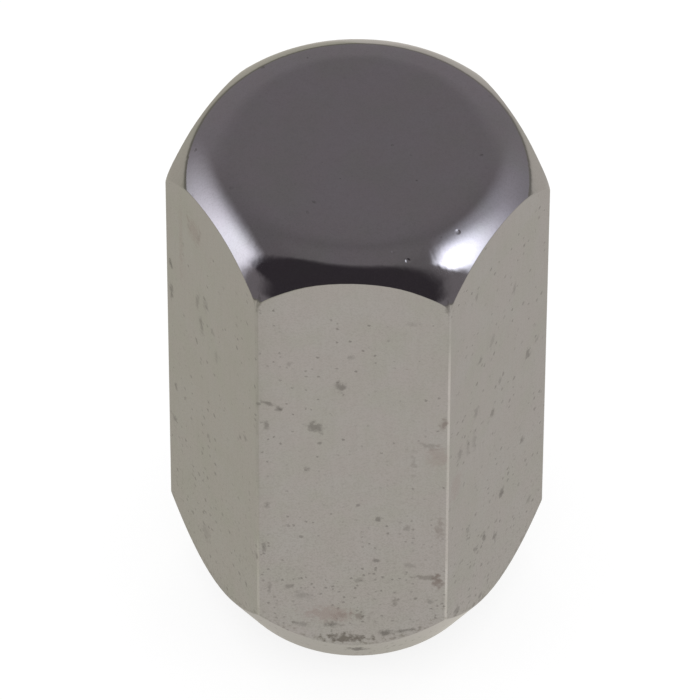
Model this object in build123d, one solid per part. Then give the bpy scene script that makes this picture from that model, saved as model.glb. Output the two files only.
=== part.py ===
"""Closed-end hexagonal lug nut with a conical seat, forged and tapped as one piece of steel.

Frame: the nut's axis is Z and its origin is the centre of the open end face, on which it stands,
so the closed crown is at the top. Two flats of the hexagon face +Y and -Y, and two corners point
along +X and -X. Sizes are in millimetres and degrees.

The helical thread itself is too fine for the solid model: the bore is cut at the thread's minor
diameter, which is the hole as drilled before tapping.
"""

from build123d import *
from math import cos, radians, tan
import os

# Hexagonal body
OVERALL_LENGTH = 35.5
ACROSS_FLATS = 19.0
CORNER_RADIUS = 0.2  # rounding along the six upright corners

# Crown, the closed end: a flat top, a wide blend, a steep chamfer and a soft turn into the corners
CHAMFER_SLOPE = 54.0  # of the chamfer, measured down from the flat top
CHAMFER_WIDTH = 2.1  # radially, from the corners in to where the chamfer would meet the flat top
CROWN_BLEND_RADIUS = 3.8  # between the flat top and the chamfer
CORNER_BLEND_RADIUS = 2.2  # between the chamfer and the upright corners
CORNER_CLEARANCE = 0.05  # from a corner's tip out to the round that the corners are turned to

# Seat, the open end
SEAT_CONE_ANGLE = 60.0  # included
END_FACE_WIDTH = 1.2  # the flat ring between the countersink's mouth and the seat
SEAT_EDGE_RADIUS = 0.3  # rounding where the seat meets the flat ring

# Thread M12 x 1.5, in a blind hole
THREAD_DIAMETER = 12.0
THREAD_PITCH = 1.5
COUNTERSINK_OVERSIZE = 1.0  # the mouth's diameter, beyond the thread's
COUNTERSINK_ANGLE = 90.0  # included
DRILL_POINT_ANGLE = 118.0  # included
CROWN_WALL = 5.0  # metal left between the drill's point and the flat top

# Share of a straight run that a blend may use up, so that a short run still gets its blends
BLEND_SHARE = 0.9

# What follows from the driving sizes
bore_radius = (THREAD_DIAMETER - THREAD_PITCH) / 2
mouth_radius = (THREAD_DIAMETER + COUNTERSINK_OVERSIZE) / 2
seat_end_radius = mouth_radius + END_FACE_WIDTH
corner_reach = (ACROSS_FLATS / 2 - CORNER_RADIUS) / cos(radians(30)) + CORNER_RADIUS
turned_radius = corner_reach + CORNER_CLEARANCE


def blend_reach(radius: float, turn: float) -> float:
    """The length of straight run that a blend of this radius takes up on each side of its corner."""
    return radius * tan(radians(turn / 2))


def turned_outline() -> Sketch:
    """Half of the nut's section as if it were turned round: the seat, the crown and all between."""
    chamfer_height = CHAMFER_WIDTH * tan(radians(CHAMFER_SLOPE))
    chamfer_run = CHAMFER_WIDTH / cos(radians(CHAMFER_SLOPE))
    seat_height = (turned_radius - seat_end_radius) / tan(radians(SEAT_CONE_ANGLE / 2))
    needed = blend_reach(CROWN_BLEND_RADIUS, CHAMFER_SLOPE)
    needed += blend_reach(CORNER_BLEND_RADIUS, 90 - CHAMFER_SLOPE)
    fit = min(1.0, BLEND_SHARE * chamfer_run / needed)
    corners = [
        (0, 0),
        (seat_end_radius, 0),
        (turned_radius, seat_height),
        (turned_radius, OVERALL_LENGTH - chamfer_height),
        (turned_radius - CHAMFER_WIDTH, OVERALL_LENGTH),
        (0, OVERALL_LENGTH),
    ]
    radii = [0, SEAT_EDGE_RADIUS, 0, CORNER_BLEND_RADIUS * fit, CROWN_BLEND_RADIUS * fit, 0]
    outline = FilletPolyline(corners, radius=radii, close=True)
    return make_face(Plane.XZ * outline)


def hexagonal_bar() -> Part:
    """The six flats at full length, with rounded upright corners at +X and -X."""
    hexagon = RegularPolygon(ACROSS_FLATS / 2, 6, major_radius=False)
    return extrude(fillet(hexagon.vertices(), CORNER_RADIUS), OVERALL_LENGTH)


def blind_hole() -> Part:
    """The countersunk mouth, the bore at the thread's minor diameter and the drill's point."""
    countersink_depth = (mouth_radius - bore_radius) / tan(radians(COUNTERSINK_ANGLE / 2))
    point_z = OVERALL_LENGTH - CROWN_WALL
    shoulder_z = point_z - bore_radius / tan(radians(DRILL_POINT_ANGLE / 2))
    outline = Polyline(
        (0, 0),
        (mouth_radius, 0),
        (bore_radius, countersink_depth),
        (bore_radius, shoulder_z),
        (0, point_z),
        close=True,
    )
    return revolve(make_face(Plane.XZ * outline), Axis.Z)


def lug_nut() -> Part:
    """The whole nut as one solid."""
    return (hexagonal_bar() & revolve(turned_outline(), Axis.Z)) - blind_hole()


os.makedirs("parts", exist_ok=True)
export_step(lug_nut(), "parts/lug_nut.step")
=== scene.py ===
"""A closed-end lug nut in bright chrome plate, with its tapped blind hole, on a plain pale floor.

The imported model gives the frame: Z is the nut's axis, the open end face lies on Z = 0 and two flats of
the hexagon face +Y and -Y. Lengths are metres unless a name ends in _mm, and angles are degrees where a
name ends in _deg and radians otherwise.
"""

import logging
import math
from dataclasses import dataclass, fields
from enum import Enum
from functools import cached_property
from typing import Callable, Sequence, Union

import bpy
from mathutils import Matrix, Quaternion, Vector


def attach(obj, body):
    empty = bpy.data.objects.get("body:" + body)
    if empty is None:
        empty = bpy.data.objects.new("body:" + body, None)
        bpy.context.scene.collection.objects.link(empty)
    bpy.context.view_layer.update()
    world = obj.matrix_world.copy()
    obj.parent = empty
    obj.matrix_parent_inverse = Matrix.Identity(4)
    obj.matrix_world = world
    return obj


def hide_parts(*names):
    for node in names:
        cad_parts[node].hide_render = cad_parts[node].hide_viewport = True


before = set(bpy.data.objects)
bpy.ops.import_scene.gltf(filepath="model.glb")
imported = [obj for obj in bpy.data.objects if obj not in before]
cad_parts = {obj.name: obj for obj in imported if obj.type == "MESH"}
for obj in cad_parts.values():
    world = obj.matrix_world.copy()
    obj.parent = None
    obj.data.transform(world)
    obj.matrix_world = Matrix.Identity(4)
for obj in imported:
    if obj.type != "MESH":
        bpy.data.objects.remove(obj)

MM = 0.001
SIDES = 6
SIDE_ANGLE = 2 * math.pi / SIDES
log = logging.getLogger("lug_nut")

Socket = bpy.types.NodeSocket
Material = bpy.types.Material
Colour = tuple[float, float, float, float]


def in_scene(name: str, data: bpy.types.ID) -> bpy.types.Object:
    """Puts a new object into the scene.

    Args:
        name: its name.
        data: its mesh or camera.

    Returns:
        The object.
    """
    item = bpy.data.objects.new(name, data)
    bpy.context.scene.collection.objects.link(item)
    return item


# ---- Formulas written as node trees ----


class Field:
    """A number that varies over a surface or flows through a node tree, used in formulas like a number."""

    def __init__(self, wiring: "Wiring", socket: Socket) -> None:
        """Wraps one output socket of a tree."""
        self.wiring = wiring
        self.socket = socket

    def math(self, operation: str, *others: "Number") -> "Field":
        """The result of one Math node, which may take further inputs."""
        return self.wiring.math(operation, self, *others)

    def __add__(self, other: "Number") -> "Field":
        """The sum."""
        return self.math("ADD", other)

    def __sub__(self, other: "Number") -> "Field":
        """The difference."""
        return self.math("SUBTRACT", other)

    def __rsub__(self, other: "Number") -> "Field":
        """The difference, with a plain number in front."""
        return self.wiring.math("SUBTRACT", other, self)

    def __mul__(self, other: "Number") -> "Field":
        """The product."""
        return self.math("MULTIPLY", other)

    def __truediv__(self, other: "Number") -> "Field":
        """The quotient."""
        return self.math("DIVIDE", other)

    def __rtruediv__(self, other: "Number") -> "Field":
        """The quotient, with a plain number in front."""
        return self.wiring.math("DIVIDE", other, self)

    __radd__ = __add__
    __rmul__ = __mul__

    def sin(self) -> "Field":
        """The sine."""
        return self.math("SINE")

    def cos(self) -> "Field":
        """The cosine."""
        return self.math("COSINE")

    def tan(self) -> "Field":
        """The tangent."""
        return self.math("TANGENT")

    def asin(self) -> "Field":
        """The angle with this sine."""
        return self.math("ARCSINE")

    def sqrt(self) -> "Field":
        """The square root."""
        return self.math("SQRT")

    def floor(self) -> "Field":
        """The whole number below."""
        return self.math("FLOOR")

    def least(self, other: "Number") -> "Field":
        """The smaller of the two."""
        return self.math("MINIMUM", other)

    def most(self, other: "Number") -> "Field":
        """The larger of the two."""
        return self.math("MAXIMUM", other)

    def kept(self, low: "Number", high: "Number") -> "Field":
        """The number kept between two limits."""
        return self.most(low).least(high)

    def ramp(self, start: "Number", end: "Number", low: float = 0.0, high: float = 1.0) -> "Field":
        """A soft step.

        Args:
            start: where the step begins.
            end: where it ends; it may be below start.
            low: the value before start.
            high: the value after end.

        Returns:
            low, then a smooth rise or fall, then high.
        """
        node = self.wiring.node("ShaderNodeMapRange", interpolation_type="SMOOTHSTEP")
        for socket, value in zip(node.inputs, (self, start, end, low, high)):
            self.wiring.join(value, socket)
        return Field(self.wiring, node.outputs["Result"])


Number = Union[Field, float, int]


class Wiring:
    """One node tree, with short ways to add nodes to it and to join them."""

    COLUMN_STEP = 190
    ROW_STEP = 170
    ROWS = 12

    def __init__(self, tree: bpy.types.NodeTree) -> None:
        """Takes a node tree to fill, and clears it."""
        self.tree = tree
        tree.nodes.clear()

    def node(self, kind: str, **settings: object) -> bpy.types.Node:
        """Adds a node, placed in the next free cell of a simple layout.

        Args:
            kind: the node's type name.
            settings: its properties, such as operation or data_type.

        Returns:
            The new node.
        """
        count = len(self.tree.nodes)
        node = self.tree.nodes.new(kind)
        node.location = (count // self.ROWS * self.COLUMN_STEP, -(count % self.ROWS) * self.ROW_STEP)
        for name, value in settings.items():
            setattr(node, name, value)
        return node

    def join(self, value: object, socket: Socket) -> None:
        """Feeds a value to an input.

        Args:
            value: a Field, an output socket, or a plain value for the input to hold.
            socket: the input.
        """
        if isinstance(value, Field):
            self.tree.links.new(value.socket, socket)
        elif isinstance(value, Socket):
            self.tree.links.new(value, socket)
        else:
            socket.default_value = value

    def fed(self, kind: str, inputs: dict, **settings: object) -> bpy.types.Node:
        """Adds a node and feeds its inputs.

        Args:
            kind: the node's type name.
            inputs: what each named or numbered input gets.
            settings: the node's properties.

        Returns:
            The new node.
        """
        node = self.node(kind, **settings)
        for name, value in inputs.items():
            self.join(value, node.inputs[name])
        return node

    def out(self, kind: str, inputs: dict, **settings: object) -> Socket:
        """The first output of a new node that is fed as in fed()."""
        return self.fed(kind, inputs, **settings).outputs[0]

    def math(self, operation: str, *values: Number) -> Field:
        """The result of one Math node."""
        return Field(self, self.out("ShaderNodeMath", dict(enumerate(values)), operation=operation))

    def vector(self, x: Number, y: Number, z: Number) -> Socket:
        """Three numbers as one vector."""
        return self.out("ShaderNodeCombineXYZ", {0: x, 1: y, 2: z})

    def split(self, vector: Socket) -> tuple[Field, Field, Field]:
        """A vector's three numbers."""
        node = self.fed("ShaderNodeSeparateXYZ", {0: vector})
        return tuple(Field(self, output) for output in node.outputs)

    def moved(self, place: object, shift: object) -> Socket:
        """A place moved by a shift, both vectors."""
        return self.out("ShaderNodeVectorMath", {0: place, 1: shift}, operation="ADD")

    def mix(self, share: Number, first: object, second: object) -> Socket:
        """Mixes two colours.

        Args:
            share: how much of the second there is, from 0 to 1.
            first: a colour, as an output socket or four numbers.
            second: another.

        Returns:
            The mixed colour's socket.
        """
        node = self.node("ShaderNodeMix", data_type="RGBA", clamp_factor=True)
        colours = [socket for socket in node.inputs if socket.type == "RGBA"]
        for value, socket in zip((share, first, second), (node.inputs["Factor"], *colours)):
            self.join(value, socket)
        return next(socket for socket in node.outputs if socket.type == "RGBA")


# ---- The nut's shape ----


@dataclass(frozen=True)
class NutSizes:
    """The sizes of the nut that a maker would set, as the solid model has them."""

    overall_length: float = 35.5 * MM
    across_flats: float = 19.0 * MM
    corner_radius: float = 0.2 * MM
    chamfer_slope: float = math.radians(54)
    chamfer_width: float = 2.1 * MM
    crown_blend_radius: float = 3.8 * MM
    corner_blend_radius: float = 2.2 * MM
    corner_clearance: float = 0.05 * MM
    seat_half_angle: float = math.radians(30)
    end_face_width: float = 1.2 * MM
    seat_edge_radius: float = 0.3 * MM
    thread_diameter: float = 12.0 * MM
    thread_pitch: float = 1.5 * MM
    countersink_oversize: float = 1.0 * MM
    drill_point_half_angle: float = math.radians(59)
    crown_wall: float = 5.0 * MM
    edge_softness: float = 0.05 * MM
    thread_run_out: float = 3.0 * MM


@dataclass(frozen=True)
class NutGrid:
    """How finely the nut's skin is divided."""

    flat_columns: int = 24
    corner_columns: int = 5
    crown_top_rows: int = 6
    crown_rows: int = 22
    edge_rows: int = 4
    flat_rows: int = 16
    seat_rows: int = 8
    seat_edge_rows: int = 5
    end_face_rows: int = 5
    drill_point_rows: int = 6
    rows_per_thread: int = 16
    weld_distance: float = 0.001 * MM

    def side_columns(self) -> int:
        """The columns of one side of the hexagon, its corner included."""
        return self.flat_columns + self.corner_columns


Profile = tuple[Number, Number]  # a radius and a height


class NutShape:
    """Geometry nodes that lay the nut's skin as bands of rows, each row running once round the axis.

    A band takes its radius and height from a formula, and neighbouring bands end on the same points, so
    welding them leaves one closed skin. The columns bunch up at the corners of the hexagon, and the rows
    at the edges, so that the flats shade flat and the edges shade round.
    """

    COLUMN = "column"
    ROW = "row"
    CREST_ROWS = 4
    FLANK_ROWS = 5
    SHARP_THREAD_SHARE = 0.5413  # an inside thread's depth over its pitch

    def __init__(self, sizes: NutSizes, grid: NutGrid) -> None:
        """Builds the tree.

        Args:
            sizes: the nut's sizes, which become the tree's named inputs.
            grid: how finely to divide it.
        """
        self.sizes = sizes
        self.grid = grid
        self.tree = bpy.data.node_groups.new("lug_nut_shape", "GeometryNodeTree")
        self.wiring = Wiring(self.tree)
        self._declare_sockets()
        self._read_sizes()
        self._read_columns()
        self._build()

    def _declare_sockets(self) -> None:
        """Gives the tree a named input for each size and each finish, and its output."""
        new_socket = self.tree.interface.new_socket
        new_socket(name="Geometry", in_out="INPUT", socket_type="NodeSocketGeometry")
        for size in fields(self.sizes):
            socket = new_socket(name=size.name, in_out="INPUT", socket_type="NodeSocketFloat")
            socket.default_value = getattr(self.sizes, size.name)
        for name in ("plating", "tapped_steel"):
            new_socket(name=name, in_out="INPUT", socket_type="NodeSocketMaterial")
        new_socket(name="Geometry", in_out="OUTPUT", socket_type="NodeSocketGeometry")

    def _read_sizes(self) -> None:
        """Reads the sizes from the tree's inputs and works out what follows from them."""
        wires = self.wiring
        self.given = wires.node("NodeGroupInput")
        size = {item.name: Field(wires, self.given.outputs[item.name]) for item in fields(self.sizes)}
        self.size = size
        self.half_across = size["across_flats"] / 2
        self.minor_radius = (size["thread_diameter"] - size["thread_pitch"]) / 2
        self.thread_depth = size["thread_pitch"] * self.SHARP_THREAD_SHARE
        self.mouth_radius = (size["thread_diameter"] + size["countersink_oversize"]) / 2
        self.seat_end_radius = self.mouth_radius + size["end_face_width"]
        corner_cos = math.cos(SIDE_ANGLE / 2)
        corner = (self.half_across - size["corner_radius"]) / corner_cos + size["corner_radius"]
        self.turned_radius = corner + size["corner_clearance"]
        self.point_height = size["overall_length"] - size["crown_wall"]
        self.hole_depth = self.point_height - self.minor_radius / size["drill_point_half_angle"].tan()
        slope = size["chamfer_slope"]
        self.slope_sin, self.slope_cos = slope.sin(), slope.cos()
        top_run = size["crown_blend_radius"] * (slope / 2).tan()
        corner_run = size["corner_blend_radius"] * ((math.pi / 2 - slope) / 2).tan()
        self.top_radius = self.turned_radius - size["chamfer_width"] - top_run
        self.chamfer_straight = size["chamfer_width"] / self.slope_cos - top_run - corner_run

    def _read_columns(self) -> None:
        """Works out, for each column, its direction from the axis and the hexagon's reach there."""
        wires, size = self.wiring, self.size
        self.row = self._attribute(self.ROW)
        column = self._attribute(self.COLUMN)
        side = (column / self.grid.side_columns()).floor()
        place = column - side * self.grid.side_columns()
        across = (place * (2 / self.grid.flat_columns) - 1).least(1)
        turn = ((place - self.grid.flat_columns) / self.grid.corner_columns).kept(0, 1) * SIDE_ANGLE
        straight = self.half_across - size["corner_radius"]
        outward = straight + size["corner_radius"] * turn.cos()
        half_flat = straight * math.tan(SIDE_ANGLE / 2)
        sideways = half_flat * (across * (math.pi / 2)).sin() + size["corner_radius"] * turn.sin()
        self.reach = (outward * outward + sideways * sideways).sqrt()
        self.azimuth = (side + 0.5) * SIDE_ANGLE + wires.math("ARCTAN2", sideways, outward)

    def _attribute(self, name: str) -> Field:
        """Reads a named number stored on the points."""
        node = self.wiring.fed("GeometryNodeInputNamedAttribute", {"Name": name}, data_type="FLOAT")
        return Field(self.wiring, node.outputs["Attribute"])

    def _crown_point(self, along: Number) -> Profile:
        """A point of the turned crown.

        Args:
            along: how far it is from the axis, measured over the surface.

        Returns:
            Its radius and height.
        """
        size = self.size
        over = along - self.top_radius
        blend = size["crown_blend_radius"]
        arc = over.kept(0, blend * size["chamfer_slope"])
        rest = over - arc
        straight = rest.kept(0, self.chamfer_straight)
        turn = (rest - straight).most(0) / size["corner_blend_radius"] + size["chamfer_slope"]
        bend = arc / blend
        radius = along.least(self.top_radius) + blend * bend.sin() + straight * self.slope_cos
        radius = radius + size["corner_blend_radius"] * (turn.sin() - self.slope_sin)
        drop = blend * (1 - bend.cos()) + straight * self.slope_sin
        drop = drop + size["corner_blend_radius"] * (self.slope_cos - turn.cos())
        return radius, size["overall_length"] - drop

    def _crown_distance(self, radius: Number) -> Field:
        """How far over the crown's surface a radius is reached.

        Args:
            radius: the radius, at least the flat top's.

        Returns:
            The distance from the axis, measured over the surface.
        """
        size = self.size
        blend = size["crown_blend_radius"]
        bend = ((radius - self.top_radius) / blend).kept(0, self.slope_sin).asin()
        rest = radius - self.top_radius - blend * bend.sin()
        straight = (rest / self.slope_cos).kept(0, self.chamfer_straight)
        rest = rest - straight * self.slope_cos
        turn = (self.slope_sin + rest / size["corner_blend_radius"]).asin() - size["chamfer_slope"]
        return self.top_radius + blend * bend + straight + size["corner_blend_radius"] * turn

    @staticmethod
    def _line(share: Field, start: Profile, end: Profile) -> Profile:
        """A point part of the way from one point to another."""
        return start[0] + (end[0] - start[0]) * share, start[1] + (end[1] - start[1]) * share

    @classmethod
    def _soft_edge(cls, share: Field, start: Profile, edge: Profile, end: Profile) -> Profile:
        """A point on the curve that rounds an edge off, between a point on each side of it."""
        return cls._line(share, cls._line(share, start, edge), cls._line(share, edge, end))

    def _band(self, rows: Number, shape: Callable[[Field], Profile]) -> Socket:
        """Lays one band of the skin.

        Args:
            rows: how many rows of faces it has.
            shape: gives the radius and height of a point, from its share of the band's rows.

        Returns:
            The band's geometry.
        """
        wires = self.wiring
        points = rows + 1
        counts = {"Vertices X": self.grid.side_columns() * SIDES + 1, "Vertices Y": points}
        mesh = wires.out("GeometryNodeMeshGrid", counts)
        index = Field(wires, wires.node("GeometryNodeInputIndex").outputs["Index"])
        column = ((index + 0.5) / points).floor()
        row = index - column * points
        for name, value in ((self.COLUMN, column), (self.ROW, row)):
            inputs = {"Geometry": mesh, "Name": name, "Value": value}
            mesh = wires.out("GeometryNodeStoreNamedAttribute", inputs, data_type="FLOAT")
        radius, height = shape(self.row / rows)
        position = wires.vector(radius * self.azimuth.cos(), radius * self.azimuth.sin(), height)
        return wires.out("GeometryNodeSetPosition", {"Geometry": mesh, "Position": position})

    def _crown_bands(self) -> list[Socket]:
        """Lays the crown.

        Returns:
            The flat top, the crown down to the flats and the soft edge between them.
        """
        grid, soft = self.grid, self.size["edge_softness"]
        whole = self._crown_distance(self.reach)
        self.flat_top = self._crown_point(whole)
        curve = whole - soft - self.top_radius
        start = self._crown_point(whole - soft)
        end = (self.reach, self.flat_top[1] - soft)

        def top(share: Field) -> Profile:
            """A point of the flat top."""
            return share * self.top_radius, self.size["overall_length"]

        def crown(share: Field) -> Profile:
            """A point of the crown, with rows bunched towards the flats."""
            return self._crown_point(self.top_radius + curve * (share * (math.pi / 2)).sin())

        return [
            self._band(grid.crown_top_rows, top),
            self._band(grid.crown_rows, crown),
            self._band(grid.edge_rows, lambda share: self._soft_edge(share, start, self.flat_top, end)),
        ]

    def _flat_and_seat_bands(self) -> list[Socket]:
        """Lays the sides.

        Returns:
            The flats, the soft edge below them, the seat's cone and its rounded lower edge.
        """
        grid, size = self.grid, self.size
        soft, half_angle = size["edge_softness"], size["seat_half_angle"]
        lean_sin, lean_cos = half_angle.sin(), half_angle.cos()
        foot = (self.reach, (self.reach - self.seat_end_radius) / half_angle.tan())
        flat_start = (self.reach, self.flat_top[1] - soft)
        flat_end = (self.reach, foot[1] + soft)
        cone_start = (self.reach - soft * lean_sin, foot[1] - soft * lean_cos)
        rounding = size["seat_edge_radius"]
        setback = rounding * ((math.pi / 2 - half_angle) / 2).tan()
        cone_end = (self.seat_end_radius + setback * lean_sin, setback * lean_cos)
        self.ring_radius = self.seat_end_radius - setback

        def bunched(share: Field) -> Field:
            """Spaces rows closely at both ends of a band."""
            return share * share * share * (share * (share * 6 - 15) + 10)

        def seat_edge(share: Field) -> Profile:
            """The quarter-like arc from the cone down to the end face."""
            turn = half_angle + share * (math.pi / 2 - half_angle)
            return self.ring_radius + rounding * turn.cos(), rounding * (1 - turn.sin())

        return [
            self._band(grid.flat_rows, lambda share: self._line(bunched(share), flat_start, flat_end)),
            self._band(grid.edge_rows, lambda share: self._soft_edge(share, flat_end, foot, cone_start)),
            self._band(grid.seat_rows, lambda share: self._line(bunched(share), cone_start, cone_end)),
            self._band(grid.seat_edge_rows, seat_edge),
        ]

    def _mouth_bands(self) -> list[Socket]:
        """Lays the end face.

        Returns:
            Its ring, and the soft edge that leads into the countersink.
        """
        grid, soft = self.grid, self.size["edge_softness"]
        diagonal = soft * math.sqrt(0.5)
        end = (self.mouth_radius + soft, 0.0)
        self.mouth_start = (self.mouth_radius - diagonal, diagonal)
        edge = (self.mouth_radius, 0.0)
        ring_width = end[0] - self.ring_radius
        return [
            self._band(grid.end_face_rows, lambda share: (self.ring_radius + ring_width * share, 0.0)),
            self._band(grid.edge_rows, lambda share: self._soft_edge(share, end, edge, self.mouth_start)),
        ]

    def _hole_bands(self) -> list[Socket]:
        """Lays the hole.

        Returns:
            The countersink with the right-hand thread that runs out of it, and the drill's point.
        """
        size, steps = self.size, self.grid.rows_per_thread
        pitch = size["thread_pitch"]
        bottom, top = self.mouth_start[1], self.hole_depth
        spare_turns = 3
        rows = ((top - bottom) / pitch + spare_turns).math("CEIL") * steps

        def thread(_: Field) -> Profile:
            """A row that climbs one pitch in each turn, until it meets an end of the hole.

            Returns:
                A point of it: the groove's wall, or the countersink's cone where that is wider.
            """
            climb = self.azimuth / (2 * math.pi) + self.row / steps - (spare_turns - 1)
            height = (bottom + pitch * climb).kept(bottom, top)
            place = self.row - (self.row / steps).floor() * steps
            nearest = (place - self.CREST_ROWS).least(steps - place)
            groove = (nearest / self.FLANK_ROWS).kept(0, 1)
            fade = ((top - height) / size["thread_run_out"]).kept(0, 1)
            wall = self.minor_radius + self.thread_depth * groove * fade
            return wall.most(self.mouth_radius - height), height

        point = (self.minor_radius * 0, self.point_height)
        end = (self.minor_radius, top)
        cone_rows = self.grid.drill_point_rows
        return [self._band(rows, thread), self._band(cone_rows, lambda share: self._line(share, end, point))]

    def _build(self) -> None:
        """Joins and welds the bands, turns the faces outwards and gives them their finishes."""
        wires = self.wiring
        bands = self._crown_bands() + self._flat_and_seat_bands() + self._mouth_bands() + self._hole_bands()
        together = wires.node("GeometryNodeJoinGeometry")
        for band in reversed(bands):
            wires.join(band, together.inputs["Geometry"])
        geometry = together.outputs["Geometry"]
        plating, tapped_steel = (self.given.outputs[name] for name in ("plating", "tapped_steel"))
        for kind, inputs in (
            ("MergeByDistance", {"Distance": self.grid.weld_distance}),
            ("FlipFaces", {}),
            ("SetShadeSmooth", {"Shade Smooth": True}),
            ("RemoveAttribute", {"Name": self.COLUMN}),
            ("RemoveAttribute", {"Name": self.ROW}),
            ("RealizeInstances", {}),
            ("SetMaterial", {"Material": plating}),
            ("SetMaterial", {"Selection": self._inside_hole(), "Material": tapped_steel}),
        ):
            geometry = wires.out("GeometryNode" + kind, {0: geometry, **inputs})
        wires.fed("NodeGroupOutput", {"Geometry": geometry})

    def _inside_hole(self) -> Field:
        """Tells the hole's faces from the others.

        Returns:
            1 on the faces of the countersink, the thread and the drill's point, and 0 elsewhere.
        """
        wires = self.wiring
        x, y, z = wires.split(wires.node("GeometryNodeInputPosition").outputs["Position"])
        within = wires.math("LESS_THAN", (x * x + y * y).sqrt(), self.mouth_radius)
        above = wires.math("GREATER_THAN", z, self.mouth_start[1] * 0.9)
        below = wires.math("LESS_THAN", z, self.size["overall_length"] - self.size["crown_wall"] / 2)
        return within * above * below

    def mesh(self, name: str, plating: Material, tapped_steel: Material) -> bpy.types.Object:
        """Evaluates the tree once and keeps the result as a plain mesh.

        Args:
            name: the new object's name.
            plating: the finish of the outside.
            tapped_steel: the finish of the hole.

        Returns:
            The new object, with no modifier.
        """
        carrier = in_scene("carrier", bpy.data.meshes.new("carrier"))
        modifier = carrier.modifiers.new("shape", "NODES")
        modifier.node_group = self.tree
        values = {size.name: getattr(self.sizes, size.name) for size in fields(self.sizes)}
        values.update(plating=plating, tapped_steel=tapped_steel)
        for item in self.tree.interface.items_tree:
            if item.in_out == "INPUT" and item.name in values:
                modifier[item.identifier] = values[item.name]
        evaluated = carrier.evaluated_get(bpy.context.evaluated_depsgraph_get())
        mesh = bpy.data.meshes.new_from_object(evaluated)
        mesh.name = name
        for index in reversed(range(len(mesh.materials))):
            if mesh.materials[index] is None:
                mesh.materials.pop(index=index)
        bpy.data.objects.remove(carrier)
        return in_scene(name, mesh)


# ---- Effects shared by the finishes ----


class Effect:
    """A shader node group with named inputs and one mask, built once and placed in each finish."""

    name = "effect"
    inputs: dict[str, object] = {}

    def __init__(self) -> None:
        """Builds the group's tree."""
        self.tree = bpy.data.node_groups.new(self.name, "ShaderNodeTree")
        new_socket = self.tree.interface.new_socket
        for name, default in self.inputs.items():
            kind = "NodeSocketVector" if isinstance(default, tuple) else "NodeSocketFloat"
            new_socket(name=name, in_out="INPUT", socket_type=kind).default_value = default
        new_socket(name="Mask", in_out="OUTPUT", socket_type="NodeSocketFloat")
        wires = Wiring(self.tree)
        given = wires.node("NodeGroupInput")
        mask = self.mask(wires, {name: given.outputs[name] for name in self.inputs})
        wires.fed("NodeGroupOutput", {"Mask": mask})

    def mask(self, wires: Wiring, given: dict[str, Socket]) -> Field:
        """Builds the group's nodes on its input sockets, and gives its mask, from 0 to 1."""
        raise NotImplementedError

    def placed(self, wires: Wiring, **values: object) -> Field:
        """Places the group in a finish.

        Args:
            wires: the finish's tree.
            values: what each input gets, named as the input with _ for a space.

        Returns:
            The group's mask.
        """
        node = wires.node("ShaderNodeGroup", node_tree=self.tree)
        for name, value in values.items():
            wires.join(value, node.inputs[name.replace("_", " ")])
        return Field(wires, node.outputs["Mask"])


def noise(wires: Wiring, place: object, size: Number, detail: float) -> Field:
    """Noise with features of a size and with finer layers of detail, mostly from -0.2 to 0.2."""
    level = wires.out("ShaderNodeTexNoise", {"Vector": place, "Scale": 1 / size, "Detail": detail})
    return Field(wires, level) - 0.5


class Specks(Effect):
    """Small scattered spots of uneven outline, such as pits in plating."""

    name = "specks"
    inputs = {"Place": (0, 0, 0), "Shift": (0, 0, 0), "Spacing": MM, "Size": 0.2, "Share": 0.5, "Ragged": 0.3}

    def mask(self, wires: Wiring, given: dict[str, Socket]) -> Field:
        """Puts a spot in some of the cells of a cell pattern, each of its own size.

        Args:
            wires: the group's tree.
            given: its input sockets, by name.

        Returns:
            The spots' mask.
        """
        spacing = Field(wires, given["Spacing"])
        moved = wires.moved(given["Place"], given["Shift"])
        bend = noise(wires, moved, spacing * 0.3, 1.0) * Field(wires, given["Ragged"])
        cells = wires.fed("ShaderNodeTexVoronoi", {"Vector": moved, "Scale": 1 / spacing})
        chance, fullness, _ = wires.split(cells.outputs["Color"])
        radius = Field(wires, given["Size"]) * (fullness * 0.7 + 0.3)
        distance = Field(wires, cells.outputs["Distance"]) + bend
        chosen = chance.math("LESS_THAN", Field(wires, given["Share"]))
        return distance.ramp(radius, radius * 0.4) * chosen


class Patches(Effect):
    """Soft uneven patches, such as haze or staining."""

    name = "patches"
    inputs = {"Place": (0, 0, 0), "Shift": (0, 0, 0), "Size": 2.0 * MM, "Cover": 0.5, "Softness": 0.2}

    def mask(self, wires: Wiring, given: dict[str, Socket]) -> Field:
        """Cuts noise off at a level that leaves the wanted cover.

        Args:
            wires: the group's tree.
            given: its input sockets, by name.

        Returns:
            The patches' mask.
        """
        moved = wires.moved(given["Place"], given["Shift"])
        level = noise(wires, moved, Field(wires, given["Size"]), 3.0)
        edge = (0.5 - Field(wires, given["Cover"])) * 0.5
        softness = Field(wires, given["Softness"])
        return level.ramp(edge - softness, edge + softness)


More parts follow.
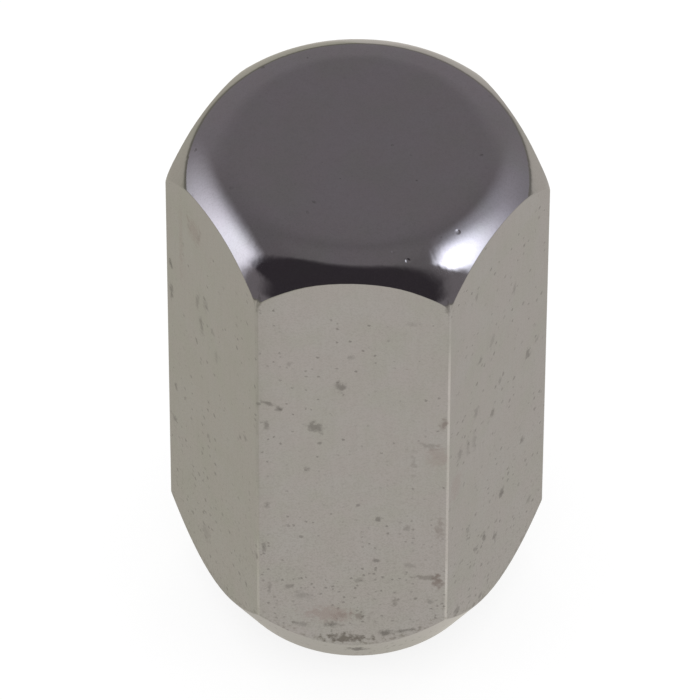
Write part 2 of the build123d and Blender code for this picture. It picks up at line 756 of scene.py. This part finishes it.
class Smudge(Effect):
    """One mark of a chosen place and shape on a flat, with a ragged outline."""

    name = "smudge"
    inputs = {
        "Across": 0.0, "Height": 0.0, "Ragged": 0.0,
        "Middle Across": 0.0, "Middle Height": 0.0, "Length": 1.0 * MM, "Width": 1.0 * MM, "Tilt": 0.0,
    }
    spread = 0.1 * MM

    def mask(self, wires: Wiring, given: dict[str, Socket]) -> Field:
        """Fills a tilted ellipse and breaks its outline up.

        Args:
            wires: the group's tree.
            given: its input sockets, by name.

        Returns:
            The mark's mask.
        """
        field = {name: Field(wires, socket) for name, socket in given.items()}
        across = field["Across"] - field["Middle Across"]
        height = field["Height"] - field["Middle Height"]
        cos, sin = field["Tilt"].cos(), field["Tilt"].sin()
        along = (across * cos + height * sin) / (field["Length"] + self.spread)
        over = (height * cos - across * sin) / (field["Width"] + self.spread)
        distance = (along * along + over * over).sqrt() * 2
        return (field["Ragged"] - distance).ramp(-1.3, -0.2)


# ---- Marks on the plating ----


class Side(Enum):
    """The sides that carry chosen marks, by the direction that each faces, in degrees from +X."""

    FRONT = -90.0
    RIGHT = -30.0
    LEFT = -150.0

    def place(self, x: Field, y: Field) -> tuple[Field, Field]:
        """A point's place on this side.

        Args:
            x: the point's first coordinate.
            y: its second.

        Returns:
            How far across from the side's middle line it is, and 1 on this side and 0 off it.
        """
        facing = math.radians(self.value)
        outward = x * math.cos(facing) + y * math.sin(facing)
        across = y * math.cos(facing) - x * math.sin(facing)
        return across, (outward * math.tan(SIDE_ANGLE / 2)).math("GREATER_THAN", across.math("ABSOLUTE"))


class Stain(Enum):
    """What a mark is made of, by its colour and by how far its outline is broken up; the pit colour also lays
    painted shade at the front flat's two upper corners.
    """

    # pits, and also the painted shade at the front flat's two upper corners
    PIT_AND_PAINTED_SHADE = ((0.20, 0.19, 0.18, 1.0), 0.75)
    GRIME = ((0.22, 0.205, 0.185, 1.0), 1.0)
    RUST = ((0.26, 0.215, 0.20, 1.0), 0.9)
    BLUSH = ((0.44, 0.385, 0.37, 1.0), 0.6)

    @property
    def colour(self) -> Colour:
        """The stain's colour."""
        return self.value[0]

    @property
    def raggedness(self) -> float:
        """How far its outline is broken up, from 0 to 1."""
        return self.value[1]


@dataclass(frozen=True)
class Mark:
    """One mark, in millimetres across from a side's middle line and up from the end face."""

    across: float
    height: float
    length: float
    width: float
    strength: float = 0.6
    tilt_deg: float = 0.0


MARKS = {
    (Side.FRONT, Stain.PIT_AND_PAINTED_SHADE): (
        Mark(-0.7, 25.8, 0.6, 0.7), Mark(-0.1, 28.3, 0.3, 0.35, 0.45),
        Mark(-2.1, 22.3, 0.95, 0.65, 0.6, -40), Mark(-4.9, 24.3, 0.8, 0.3, 0.6, -33),
        Mark(-4.2, 23.9, 0.35, 0.4), Mark(-4.9, 22.4, 0.3, 0.7, 0.5), Mark(-3.6, 27.7, 0.3, 0.3, 0.3),
        Mark(3.3, 31.2, 0.5, 0.4, 0.2), Mark(-2.6, 18.7, 0.3, 0.4, 0.35), Mark(-4.9, 15.5, 0.25, 0.4),
        Mark(1.5, 14.4, 0.25, 0.35), Mark(3.1, 13.7, 0.3, 0.4, 0.35), Mark(1.4, 10.8, 0.3, 0.35),
        Mark(-5.1, 11.7, 0.2, 0.9, 0.45), Mark(-4.8, 8.2, 0.2, 1.0, 0.4), Mark(0.4, 9.0, 0.4, 0.3, 0.4),
        # the two marks at 32.7 up and 5.4 to each side are painted shade, where the rounded corner tips
        # mirror darker surroundings
        Mark(4.5, 7.2, 0.3, 0.35, 0.4), Mark(-5.4, 32.7, 0.35, 1.3, 0.5), Mark(5.4, 32.7, 0.35, 1.3, 0.5),
        Mark(3.4, 10.4, 0.8, 0.3, 0.3, -20), Mark(-3.7, 8.3, 0.6, 0.35, 0.45, 30),
        Mark(-2.9, 7.6, 1.1, 0.8, 0.3, -20), Mark(-1.1, 5.0, 0.9, 0.5, 0.6, 10),
        Mark(-3.1, 5.0, 0.9, 0.4, 0.45, -10), Mark(1.9, 4.3, 0.8, 0.45, 0.75, 12),
        Mark(3.2, 4.6, 1.3, 0.2, 0.6, 18), Mark(0.4, 2.1, 1.4, 0.9, 1.0),
    ),
    (Side.FRONT, Stain.GRIME): (
        Mark(-0.3, 3.8, 2.3, 0.75, 0.9), Mark(4.3, 9.4, 1.3, 0.45, 0.5, -5),
        Mark(2.5, 6.9, 0.3, 1.3, 0.4), Mark(4.4, 20.9, 1.2, 0.5, 0.35, -10),
        Mark(3.5, 19.5, 0.25, 2.4, 0.25), Mark(0.4, 5.8, 1.0, 0.6, 0.55, 5),
    ),
    (Side.FRONT, Stain.RUST): (
        Mark(5.0, 9.0, 0.5, 0.95, 0.7), Mark(5.2, 22.8, 0.4, 0.8), Mark(-0.6, 5.8, 0.9, 0.45, 0.7, 10),
        Mark(5.0, 13.6, 0.5, 1.6, 0.35),
    ),
    (Side.FRONT, Stain.BLUSH): (
        Mark(-1.3, 5.9, 3.2, 1.4, 0.7), Mark(4.9, 20.0, 1.3, 1.8, 0.5),
    ),
    (Side.RIGHT, Stain.PIT_AND_PAINTED_SHADE): (
        Mark(3.3, 20.5, 0.6, 0.8, 0.65), Mark(4.3, 20.8, 0.4, 0.45, 0.45),
        Mark(1.6, 27.6, 0.35, 0.8, 0.45, -10), Mark(-2.6, 30.9, 0.3, 0.6, 0.4),
        Mark(-2.1, 25.0, 0.4, 0.45, 0.5), Mark(-0.8, 25.5, 0.6, 0.9, 0.3), Mark(0.2, 21.1, 0.3, 0.5, 0.4),
        Mark(-0.6, 19.1, 0.35, 0.6), Mark(-2.4, 20.9, 0.5, 1.0, 0.4), Mark(-2.6, 18.6, 0.4, 1.6, 0.3),
        Mark(-3.3, 18.7, 0.3, 1.4, 0.3), Mark(-4.2, 19.0, 0.5, 1.2, 0.45),
        Mark(2.9, 13.4, 0.4, 0.5, 0.65), Mark(0.6, 11.0, 0.45, 0.75, 0.8, 20),
        Mark(-3.2, 11.3, 0.4, 0.5, 0.4), Mark(-1.3, 8.9, 0.3, 0.8, 0.65, 10),
        Mark(-0.1, 7.7, 0.3, 0.8, 0.65, 10), Mark(-2.2, 8.7, 0.3, 0.5, 0.4),
        Mark(3.8, 7.2, 0.4, 0.5, 0.45), Mark(-1.6, 3.9, 0.4, 0.4, 0.55),
        Mark(-4.3, 5.3, 0.7, 0.6, 0.55, 10),
    ),
    (Side.RIGHT, Stain.BLUSH): (
        Mark(-4.6, 16.6, 1.2, 2.2, 0.5),
    ),
    (Side.LEFT, Stain.PIT_AND_PAINTED_SHADE): (
        Mark(-1.2, 24.3, 0.45, 1.7, 0.55, 5), Mark(-1.6, 26.0, 0.4, 1.4, 0.45, -10),
        Mark(-0.6, 26.6, 0.7, 1.1, 0.3), Mark(0.2, 25.1, 0.35, 0.5, 0.4), Mark(0.6, 23.4, 0.3, 0.9, 0.35),
        Mark(-4.9, 26.0, 0.45, 0.6, 0.8), Mark(-4.9, 23.7, 0.4, 1.2, 0.7), Mark(-4.5, 15.8, 0.3, 0.5),
        Mark(-4.7, 12.8, 0.45, 0.5), Mark(-0.5, 15.4, 0.4, 0.6, 0.45), Mark(3.5, 19.4, 0.3, 0.4, 0.55),
        Mark(4.1, 19.9, 0.3, 0.4, 0.45), Mark(5.4, 10.8, 0.35, 0.5), Mark(-1.0, 6.5, 0.9, 1.2, 0.3),
    ),
    (Side.LEFT, Stain.RUST): (
        Mark(-1.4, 31.6, 0.3, 1.5, 0.4, -15), Mark(-2.6, 31.8, 0.3, 1.0, 0.3, 15),
    ),
    (Side.LEFT, Stain.BLUSH): (
        Mark(-2.0, 31.6, 1.6, 1.9, 0.55), Mark(-3.6, 29.0, 0.5, 7.0, 0.35),
    ),
}

DIMPLES = ((5.78, -6.01, 35.23), (2.23, -7.72, 35.34), (3.02, -8.15, 35.08))


# ---- Finishes ----


class Surface:
    """A new metal material, with the place on the nut that its nodes start from."""

    def __init__(self, name: str) -> None:
        """Starts the material.

        Args:
            name: the material's name.
        """
        self.material = bpy.data.materials.new(name)
        self.material.use_nodes = True
        self.wires = Wiring(self.material.node_tree)
        self.place = self.wires.node("ShaderNodeTexCoord").outputs["Object"]
        self.x, self.y, self.z = self.wires.split(self.place)

    @cached_property
    def radius(self) -> Field:
        """How far each place lies from the nut's axis."""
        return (self.x * self.x + self.y * self.y).sqrt()

    def finished(self, colour: object, roughness: Field, normal: Socket) -> Material:
        """Ends the material in a bare metal shader.

        Args:
            colour: the metal's colour.
            roughness: its roughness.
            normal: its bumped normal.

        Returns:
            The material.
        """
        inputs = {"Base Color": colour, "Metallic": 1.0, "Roughness": roughness, "Normal": normal}
        shader = self.wires.out("ShaderNodeBsdfPrincipled", inputs)
        self.wires.fed("ShaderNodeOutputMaterial", {"Surface": shader})
        return self.material


@dataclass(frozen=True)
class ChromePlate:
    """Bright chrome over polished steel, with the pits, haze and grime of a handled nut, a painted highlight
    along the upright corners and painted shade at the front flat's two upper corners.
    """

    specks: Specks
    patches: Patches
    smudge: Smudge
    sizes: NutSizes
    bright: Colour = (0.552, 0.549, 0.545, 1.0)
    green_haze: Colour = (0.522, 0.530, 0.498, 1.0)
    pink_haze: Colour = (0.556, 0.533, 0.535, 1.0)
    # colour of the painted highlight along the upright corners, also read as worn metal
    worn_edge_and_highlight: Colour = (0.80, 0.80, 0.81, 1.0)
    dull: Colour = (0.40, 0.39, 0.37, 1.0)
    pit: Colour = (0.20, 0.19, 0.18, 1.0)
    grime: Colour = (0.24, 0.225, 0.185, 1.0)
    roughness: float = 0.05
    corner_tip: float = 33.0 * MM
    edge_radius: float = 10.7 * MM

    def material(self) -> Material:
        """Builds the material.

        Returns:
            The material.
        """
        on = Surface("chrome_plate")
        wires, place, z = on.wires, on.place, on.z
        patches, specks = self.patches.placed, self.specks.placed
        low = z.ramp(24 * MM, 4 * MM, 0.3, 1.0) * z.ramp(33.6 * MM, 31.6 * MM, 0.1, 1.0)

        green = patches(wires, Place=place, Size=3.0 * MM, Cover=0.5, Softness=0.16)
        pink = patches(wires, Place=place, Shift=(0.3, 0.1, 0.2), Size=2.2 * MM, Cover=0.5, Softness=0.16)
        drawn = wires.out("ShaderNodeVectorMath", {0: place, 1: (1.0, 1.0, 0.14)}, operation="MULTIPLY")
        streaks = patches(wires, Place=drawn, Size=0.3 * MM, Cover=0.35, Softness=0.2)
        mottle = noise(wires, place, 0.11 * MM, 1.0)
        here = {"Place": place, "Shift": (0.1, 0.4, 0.2)}
        pits = specks(wires, **here, Spacing=1.1 * MM, Size=0.16, Share=low * 0.6, Ragged=0.25)
        here = {"Place": place, "Shift": (0.2, 0.1, 0.5)}
        small_pits = specks(wires, **here, Spacing=0.36 * MM, Size=0.55, Share=low * 0.5, Ragged=0.5)
        crowd = patches(wires, Place=place, Shift=(0.5, 0.3, 0.1), Size=2.5 * MM, Cover=0.5, Softness=0.08)
        small_pits = small_pits * (crowd * 0.7 + 0.3)
        ragged = noise(wires, place, 0.3 * MM, 3.0) * 3.4
        border = self.border(on, ragged)

        colour: object = self.bright
        for mask, strength, tone in (
            (green, 0.8, self.green_haze),
            (pink, 0.6, self.pink_haze),
            (streaks, 0.1, self.dull),
            ((mottle * 1.6 + 0.12).kept(0, 1), low * 0.6 + 0.4, self.dull),
            (small_pits, 0.55, self.pit),
            (pits, 0.5, self.pit),
            (border, 0.5, self.grime),
        ):
            colour = wires.mix(mask * strength, colour, tone)
        colour, all_marks = self.marked(on, colour, ragged)
        # faint painted highlight along the upright corners, laid in patches like worn metal
        colour = wires.mix(self.edge_wear_and_highlight(on) * 0.2, colour, self.worn_edge_and_highlight)
        rough = self.roughness + green * 0.02 + (pits + small_pits) * 0.15 + border * 0.15 + all_marks * 0.3
        return on.finished(colour, rough, self.bumps(on))

    def marked(self, on: Surface, colour: object, ragged: Field) -> tuple[object, Field]:
        """Lays the chosen marks over a colour.

        Args:
            on: the surface.
            colour: the colour under them.
            ragged: what breaks their outlines up.

        Returns:
            The new colour, and a mask of all the marks.
        """
        places = {side: side.place(on.x, on.y) for side in Side}
        all_marks: Number = 0.0
        for (side, stain), marks in MARKS.items():
            across, here = places[side]
            outline = ragged * stain.raggedness
            whole: Number = 0.0
            for mark in marks:
                mask = self.smudge.placed(
                    on.wires, Across=across, Height=on.z, Ragged=outline,
                    Middle_Across=mark.across * MM, Middle_Height=mark.height * MM,
                    Length=mark.length * MM, Width=mark.width * MM, Tilt=math.radians(mark.tilt_deg),
                )
                whole = (mask * mark.strength).most(whole)
            whole = whole * here
            colour = on.wires.mix(whole, colour, stain.colour)
            all_marks = whole.most(all_marks)
        return colour, all_marks

    def border(self, on: Surface, ragged: Field) -> Field:
        """Grime that gathers just above the seat's edge.

        Args:
            on: the surface.
            ragged: what breaks the grime up.

        Returns:
            The grime's mask.
        """
        foot = (self.sizes.thread_diameter + self.sizes.countersink_oversize) / 2 + self.sizes.end_face_width
        above_seat = on.z - (on.radius - foot) / math.tan(self.sizes.seat_half_angle)
        near = above_seat.ramp(1.5 * MM, 0.1 * MM) * above_seat.ramp(0.02 * MM, 0.1 * MM)
        return (near + ragged * 0.9).ramp(0.9, 1.5) * near

    def edge_wear_and_highlight(self, on: Surface) -> Field:
        """A painted highlight along the upright corners, in patches here and there like brighter worn metal.

        Args:
            on: the surface.

        Returns:
            The mask of the painted highlight and wear.
        """
        turn = on.wires.math("ARCTAN2", on.y, on.x) / SIDE_ANGLE
        off_corner = (turn - (turn + 0.5).floor()).math("ABSOLUTE") * SIDE_ANGLE
        line = (on.radius * off_corner.sin()).ramp(0.10 * MM, 0.05 * MM)
        line = line * on.radius.ramp(self.edge_radius - 0.3 * MM, self.edge_radius)
        line = line * on.z.ramp(self.corner_tip, self.corner_tip - 0.5 * MM)
        return line * self.patches.placed(
            on.wires, Place=on.place, Shift=(0.4, 0.2, 0.1), Size=3.0 * MM, Cover=0.5, Softness=0.1
        )

    @staticmethod
    def bumps(on: Surface) -> Socket:
        """The plating's faint unevenness and its few dimples.

        Args:
            on: the surface.

        Returns:
            The bumped normal.
        """
        height = noise(on.wires, on.place, 2.4 * MM, 1.0) + noise(on.wires, on.place, 0.45 * MM, 1.0) * 0.5
        for dimple in DIMPLES:
            ends = {0: on.place, 1: tuple(number * MM for number in dimple)}
            away = on.wires.fed("ShaderNodeVectorMath", ends, operation="DISTANCE").outputs["Value"]
            height = height - Field(on.wires, away).ramp(0.2 * MM, 0.03 * MM) * 3.0
        return on.wires.out("ShaderNodeBump", {"Height": height, "Strength": 1.0, "Distance": 0.005 * MM})


@dataclass(frozen=True)
class TappedSteel:
    """Cut steel in the hole, dulled by oiled patches where the plating hardly reaches, and darker deeper in.
    """

    specks: Specks
    patches: Patches
    colour: Colour = (0.36, 0.35, 0.34, 1.0)
    dark_tone: Colour = (0.16, 0.14, 0.12, 1.0)
    dust: Colour = (0.45, 0.42, 0.38, 1.0)
    roughness: float = 0.3

    def material(self) -> Material:
        """Builds the material.

        Returns:
            The material.
        """
        on = Surface("tapped_steel")
        wires, place = on.wires, on.place
        oiled = self.patches.placed(wires, Place=place, Size=1.8 * MM, Cover=0.5, Softness=0.1)
        dusty = self.specks.placed(wires, Place=place, Spacing=0.5 * MM, Size=0.25, Share=0.4, Ragged=0.3)
        deep = on.z.ramp(0.8 * MM, 9.0 * MM)
        colour = wires.mix(oiled * 0.7, self.colour, self.dark_tone)
        # darker deeper into the hole
        colour = wires.mix(deep * 0.5, colour, self.dark_tone)
        colour = wires.mix(dusty * 0.4, colour, self.dust)
        rough = self.roughness + deep * 0.15 - oiled * 0.1 + dusty * 0.2
        lines = {"Vector": place, "Scale": 1 / (0.5 * MM), "Distortion": 1.0, "Detail": 1.0}
        tool = wires.fed("ShaderNodeTexWave", lines, wave_type="BANDS", bands_direction="Z")
        inputs = {"Height": tool.outputs["Fac"], "Strength": 0.5, "Distance": 0.004 * MM}
        return on.finished(colour, rough, wires.out("ShaderNodeBump", inputs))


# ---- The nut ----


@dataclass
class LugNut:
    """The whole nut: one forged piece with its hole."""

    sizes: NutSizes = NutSizes()
    grid: NutGrid = NutGrid()
    node: str = "lug_nut"
    body: str = "root"
    slot: str = "chrome"

    def build(self) -> bpy.types.Object:
        """Makes the nut and gives it the place of its CAD solid.

        Returns:
            The finished piece.
        """
        specks, patches, smudge = Specks(), Patches(), Smudge()
        plating = ChromePlate(specks, patches, smudge, self.sizes).material()
        tapped_steel = TappedSteel(specks, patches).material()
        piece = NutShape(self.sizes, self.grid).mesh("plated_nut", plating, tapped_steel)
        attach(piece, self.body)
        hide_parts(self.node)
        return piece


# ---- The studio ----


def mirrored(wires: Wiring) -> Field:
    """1 for a ray that comes off a mirroring surface, and 0 for others."""
    return Field(wires, wires.node("ShaderNodeLightPath").outputs["Is Glossy Ray"])


@dataclass(frozen=True)
class Step:
    """A soft step over a panel, from start to end, along one axis that may lean by a slope."""

    start: float
    end: float
    slope: float = 0.0
    low: float = 0.0

    def at(self, along: Field, over: Field) -> Field:
        """Low before the start and 1 past the end, from the places along the step's own axis and over it."""
        place = along + over * self.slope if self.slope else along
        return place.ramp(self.start, self.end, self.low, 1.0)


@dataclass(frozen=True)
class Layer:
    """One part of a panel's light: its strength, and the steps that shape it across the panel."""

    strength: float
    across: tuple[Step, ...]


@dataclass(frozen=True)
class Panel:
    """A flat upright panel that the plating mirrors.

    Places on it are distances to the right of the point nearest the nut and above it, in units of the
    distance from the nut to the panel, so a place of 1 is seen 45 degrees off.
    """

    azimuth_deg: float
    colour: Colour
    layers: tuple[Layer, ...]
    upward: tuple[Step, ...]

    def mask(self, direction: tuple[Field, Field, Field]) -> Field:
        """How strongly the panel is seen.

        Args:
            direction: the three numbers of the direction that it is seen in.

        Returns:
            The strength there, 0 off the panel.
        """
        x, y, z = direction
        azimuth = math.radians(self.azimuth_deg)
        ahead = x * math.sin(azimuth) + y * math.cos(azimuth)
        facing = ahead.math("GREATER_THAN", 0.01)
        ahead = ahead.most(0.01)
        right = (x * math.cos(azimuth) - y * math.sin(azimuth)) / ahead
        up = z / ahead
        strength: Number = 0.0
        for layer in self.layers:
            light: Number = layer.strength
            for step in layer.across:
                light = step.at(right, up) * light
            strength = light + strength
        for step in self.upward:
            strength = strength * step.at(up, right)
        return strength * facing


LEFT_PANEL = Panel(
    azimuth_deg=-70,
    colour=(0.93, 0.93, 1.06, 1.0),
    layers=(Layer(1.30, (Step(-1.36, -0.90, -0.2), Step(-0.90, -0.55, 0.73), Step(0.64, -0.46))),),
    upward=(Step(1.64, 0.80), Step(-0.5, 0.7, low=0.68)),
)
RIGHT_OUTER_EDGE = (Step(1.90, 1.60), Step(1.15, 0.75, -0.68))
RIGHT_PANEL = Panel(
    azimuth_deg=60,
    colour=(0.85, 0.86, 1.02, 1.0),
    layers=(
        Layer(0.37, (Step(-0.60, 0.20), *RIGHT_OUTER_EDGE)),
        Layer(2.5, (Step(-0.02, 1.08), *RIGHT_OUTER_EDGE)),
    ),
    upward=(Step(2.95, 1.45), Step(-0.1, 1.35, low=0.30)),
)
DARK_CARD = Panel(
    azimuth_deg=180,
    colour=(0.043, 0.036, 0.044, 1.0),
    layers=(Layer(1.0, (Step(-1.68, -1.03, -0.09), Step(3.1, 1.8))),),
    upward=(Step(7.2, 3.0, -0.8), Step(-0.45, -0.15, -0.68), Step(-0.45, -0.15, 0.68)),
)


@dataclass(frozen=True)
class Gleam:
    """A brighter stretch of floor that only an upright corner of the nut mirrors.

    It spreads out from the corner, between the floor that one flat mirrors and the floor of the next.
    """

    corner_deg: float
    toward_deg: float
    strength: float
    near: float
    far: float

    def light(self, x: Field, y: Field, corner_radius: float) -> Field:
        """The light that it adds.

        Args:
            x: the first coordinate of a place on the floor.
            y: its second.
            corner_radius: how far the nut's corners lie from its axis.

        Returns:
            The added light.
        """
        corner, toward = math.radians(self.corner_deg), math.radians(self.toward_deg)
        right, ahead = x - math.cos(corner) * corner_radius, y - math.sin(corner) * corner_radius
        away = (right * right + ahead * ahead).sqrt()
        facing = (right * math.cos(toward) + ahead * math.sin(toward)) / away.most(0.01 * MM)
        return facing.ramp(0.55, 0.85) * away.ramp(self.far, self.near) * self.strength


@dataclass
class Studio:
    """The floor, the light round the nut and the camera."""

    floor_half_size: float = 3.0
    floor_drop: float = 0.02 * MM
    floor_white: float = 0.80
    floor_shade: Colour = (0.25, 0.25, 0.25, 1.0)
    floor_tint: Colour = (1.0, 0.943, 0.872, 1.0)
    left_floor_tint: Colour = (1.0, 0.950, 0.828, 1.0)
    front_glow: float = 0.618
    left_glow: float = 0.500
    right_glow: float = 0.552
    far_glow: float = 0.38
    foot_dimming: float = 0.22
    foot_lean: float = 10.0
    nut_corner: float = 10.97 * MM
    gleams: tuple[Gleam, ...] = (
        Gleam(-60, -30, 0.24, 21 * MM, 31 * MM),
        Gleam(-120, -150, 0.12, 6 * MM, 18 * MM),
    )
    room_tint: Colour = (1.0, 0.91, 1.0, 1.0)
    room_low: float = 0.200
    room_high: float = 0.163
    room_overhead: float = 0.028
    room_behind: float = 0.045
    azimuth_deg: float = 1.47
    elevation_deg: float = 48.12
    roll_deg: float = 0.18
    distance: float = 0.5415
    lens_mm: float = 481.1
    sensor_mm: float = 36.0
    aim_height: float = 19.13 * MM
    aim_left: float = 0.41 * MM
    aim_down: float = 0.49 * MM

    def build(self) -> None:
        """Builds everything that isn't the nut."""
        self.build_floor()
        self.build_world()
        self.build_camera()
        bpy.context.scene.view_settings.view_transform = "Standard"

    def build_floor(self) -> None:
        """Lays a plain pale floor just under the nut, white to the eye and warm in the plating.

        From below it can be seen through, so that the hole shows.
        """
        h, z = self.floor_half_size, -self.floor_drop
        mesh = bpy.data.meshes.new("floor")
        mesh.from_pydata([(-h, -h, z), (h, -h, z), (h, h, z), (-h, h, z)], [], [(0, 1, 2, 3)])
        material = bpy.data.materials.new("floor")
        material.use_nodes = True
        wires = Wiring(material.node_tree)
        white = wires.out("ShaderNodeEmission", {"Color": (1, 1, 1, 1), "Strength": self.floor_white})
        lit = wires.out("ShaderNodeBsdfDiffuse", {"Color": self.floor_shade})
        seen = wires.out("ShaderNodeAddShader", {0: white, 1: lit})
        brightness, tint = self.glow(wires)
        glow = wires.out("ShaderNodeEmission", {"Color": tint, "Strength": brightness})
        above = wires.out("ShaderNodeMixShader", {0: mirrored(wires), 1: seen, 2: glow})
        clear = wires.out("ShaderNodeBsdfTransparent", {})
        behind = wires.node("ShaderNodeNewGeometry").outputs["Backfacing"]
        whole = wires.out("ShaderNodeMixShader", {0: behind, 1: above, 2: clear})
        wires.fed("ShaderNodeOutputMaterial", {"Surface": whole})
        mesh.materials.append(material)
        in_scene("floor", mesh)

    def glow(self, wires: Wiring) -> tuple[Field, Socket]:
        """How the floor looks in the plating.

        Args:
            wires: the floor's tree.

        Returns:
            The brightness, a wide pool of light that is dimmer at the nut's foot and to each side, and
            the tint.
        """
        x, y, _ = wires.split(wires.node("ShaderNodeTexCoord").outputs["Object"])
        away = (x * x + y * y).sqrt()
        left, right = x.ramp(-4 * MM, -11 * MM), x.ramp(6 * MM, 12 * MM)
        foot = away.ramp(12 * MM, 6 * MM)
        pool = self.front_glow + left * (self.left_glow - self.front_glow)
        pool = pool + right * (self.right_glow - self.front_glow)
        pool = pool * (1 - foot * self.foot_dimming) + x * self.foot_lean * foot
        for gleam in self.gleams:
            pool = pool + gleam.light(x, y, self.nut_corner)
        tint = wires.mix(left.most(foot * 0.6), self.floor_tint, self.left_floor_tint)
        return pool * away.ramp(200 * MM, 600 * MM, 1.0, self.far_glow), tint

    def build_world(self) -> None:
        """Surrounds the nut with white for the eye and the floor, and with a dim room for the plating.

        The room is a little brighter low down, straight overhead and behind the nut.
        """
        world = bpy.data.worlds.new("studio")
        world.use_nodes = True
        bpy.context.scene.world = world
        wires = Wiring(world.node_tree)
        direction = wires.split(wires.node("ShaderNodeTexCoord").outputs["Generated"])
        _, back, up = direction
        level = up.ramp(0.50, 0.78, self.room_low, self.room_high) + up.ramp(0.90, 0.99) * self.room_overhead
        level = level + back.ramp(0.2, 0.9) * self.room_behind
        room = wires.mix(level, (0, 0, 0, 1), self.room_tint)
        room = wires.mix(DARK_CARD.mask(direction), room, DARK_CARD.colour)
        for panel in (LEFT_PANEL, RIGHT_PANEL):
            strength = panel.mask(direction)
            room = wires.vector(*(part + strength * c for part, c in zip(wires.split(room), panel.colour)))
        colour = wires.mix(mirrored(wires), (1, 1, 1, 1), room)
        light = wires.out("ShaderNodeBackground", {"Color": colour, "Strength": 1.0})
        wires.fed("ShaderNodeOutputWorld", {"Surface": light})

    def build_camera(self) -> None:
        """Sets the camera above and in front of the nut, with a long lens."""
        camera = in_scene("camera", bpy.data.cameras.new("camera"))
        bpy.context.scene.camera = camera
        azimuth, elevation = math.radians(self.azimuth_deg), math.radians(self.elevation_deg)
        level = Vector((math.sin(azimuth), -math.cos(azimuth), 0))
        toward = level * math.cos(elevation) + Vector((0, 0, math.sin(elevation)))
        right = Vector((math.cos(azimuth), math.sin(azimuth), 0))
        up = toward.cross(right)
        aim = Vector((0, 0, self.aim_height)) - right * self.aim_left - up * self.aim_down
        camera.location = aim + toward * self.distance
        facing = (-toward).to_track_quat("-Z", "Y")
        camera.rotation_euler = (facing @ Quaternion((0, 0, 1), math.radians(self.roll_deg))).to_euler()
        camera.data.sensor_width = self.sensor_mm
        camera.data.lens = self.lens_mm
        camera.data.clip_start = 0.05
        camera.data.clip_end = 20


def main() -> None:
    """Builds the nut and its studio."""
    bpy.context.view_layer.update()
    nut = LugNut().build()
    log.info("%s: %d faces", nut.name, len(nut.data.polygons))
    Studio().build()


if __name__ == "__main__":
    logging.basicConfig(level=logging.INFO)
    main()
